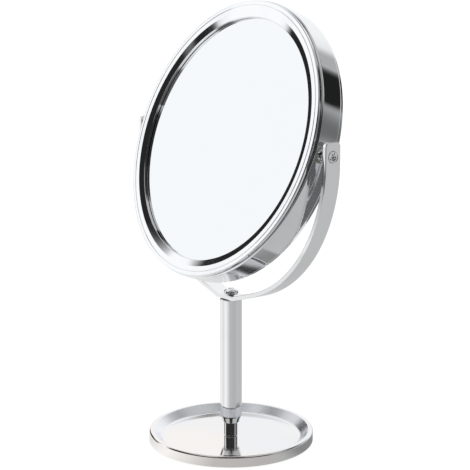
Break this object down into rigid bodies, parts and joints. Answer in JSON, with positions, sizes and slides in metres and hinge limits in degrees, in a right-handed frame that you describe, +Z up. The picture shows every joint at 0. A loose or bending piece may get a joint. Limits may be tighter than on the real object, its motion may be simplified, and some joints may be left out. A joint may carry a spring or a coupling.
{
  "type": "shaving mirror",
  "caption": "Round reversible shaving mirror that tilts in a bent yoke on a telescopic chrome column with a dished round base.",
  "frame": {"origin": "centre of the underside of the base pad", "axes": "+Z up along the column; the tilt axis runs along X; the front glass faces -Y and leans back"},
  "size_m": [0.1648, 0.091, 0.2406],
  "materials": {
    "chrome_base": "bright chrome plate on spun steel",
    "chrome_column": "bright chrome plate on drawn tube",
    "chrome_yoke": "bright chrome plate on bent strap",
    "chrome_head": "bright chrome plate on rolled sheet",
    "screw_chrome": "polished plated screw",
    "plated_steel": "zinc plate",
    "ballast_iron": "bare casting",
    "mirror_glass": "silvered float glass",
    "nylon": "moulded nylon",
    "pad_foam": "closed-cell foam",
    "pressed_board": "pressed board"
  },
  "bodies": {
    "base": {"base_shell": "chrome_base", "base_ballast_ring": "ballast_iron", "base_pad": "pad_foam", "base_screw": "plated_steel", "inner_tube": "chrome_column", "foot_plug": "plated_steel", "top_plug": "plated_steel", "sleeve_washer": "plated_steel", "sleeve_screw": "plated_steel"},
    "sleeve": {"friction_sleeve": "nylon"},
    "column": {"outer_tube": "chrome_column", "head_plug": "plated_steel", "yoke": "chrome_yoke", "yoke_screw": "screw_chrome", "pivot_friction_washer_right": "nylon", "pivot_friction_washer_left": "nylon"},
    "head": {"drum_band": "chrome_head", "front_bezel": "chrome_head", "rear_bezel": "chrome_head", "front_glass": "mirror_glass", "rear_glass": "mirror_glass", "front_backing": "pad_foam", "rear_backing": "pad_foam", "core_board": "pressed_board", "pivot_screw_right": "screw_chrome", "pivot_screw_left": "screw_chrome", "pivot_collar_right": "screw_chrome", "pivot_collar_left": "screw_chrome", "pivot_nut_right": "plated_steel", "pivot_nut_left": "plated_steel"}
  },
  "joints": [
    {"name": "head_swivel", "type": "hinge", "parent": "base", "child": "sleeve", "pos_m": [0, 0, 0.054], "axis": [0, 0, 1], "continuous": true},
    {"name": "height_slide", "type": "slide", "parent": "sleeve", "child": "column", "axis": [0, 0, 1], "range_m": [-0.007, 0.032]},
    {"name": "mirror_tilt", "type": "hinge", "parent": "column", "child": "head", "pos_m": [0, 0, 0.167], "axis": [1, 0, 0], "continuous": true}
  ]
}
